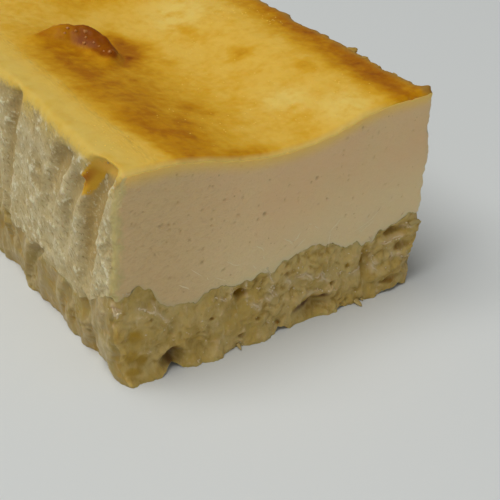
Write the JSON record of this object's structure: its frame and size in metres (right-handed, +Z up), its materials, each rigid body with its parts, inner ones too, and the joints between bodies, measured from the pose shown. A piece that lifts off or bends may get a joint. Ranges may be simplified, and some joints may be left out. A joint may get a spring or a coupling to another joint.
{
  "type": "sweet potato cheesecake",
  "caption": "Half of a loaf-shaped baked cheesecake, cut across: browned sagging top, smooth custard over coarse mashed sweet potato, sides creased by baking paper.",
  "frame": {"origin": "on the plate, below the middle of the block", "axes": "+Z up, +Y from the knife's cut towards the tin's end, +X to the right for someone who looks at the cut"},
  "size_m": [0.0852, 0.1044, 0.0525],
  "materials": {
    "mashed_sweet_potato": "moist, coarse cut mash with pale fibres",
    "baked_cheese_custard": "smooth knife cut, golden browned top with a slight gloss, dry pale skin where the paper lay"
  },
  "bodies": {
    "root": {"sweet_potato_base": "mashed_sweet_potato", "cheese_custard": "baked_cheese_custard"}
  },
  "joints": []
}
